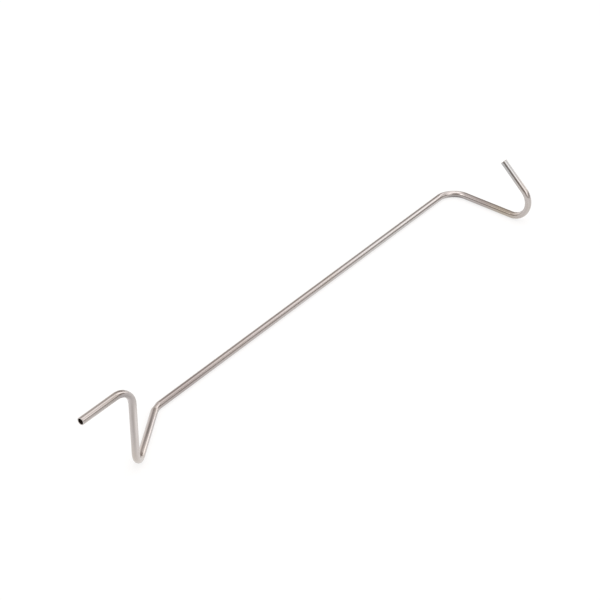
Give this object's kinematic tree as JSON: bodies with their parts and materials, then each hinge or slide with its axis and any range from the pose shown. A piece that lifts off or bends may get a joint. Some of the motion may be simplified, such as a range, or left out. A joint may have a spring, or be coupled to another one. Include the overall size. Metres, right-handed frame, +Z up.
{
  "type": "bent tube hook",
  "caption": "Long straight metal tube, open at both sawn ends, bent to a raised prong at one end and an upturned open hook at the other, for hanging or holding cord or fabric.",
  "frame": {"origin": "on the ground, at the centre of the outline seen from above", "axes": "+Z up, +X along the shank from the raised end towards the hook, +Y away from the side that the hook is on"},
  "size_m": [0.5186, 0.0882, 0.086],
  "materials": {
    "tube_metal": "bright drawn metal, unpainted, satin with fine drawing lines along the tube"
  },
  "bodies": {
    "root": {"bent_tube": "tube_metal"}
  },
  "joints": []
}
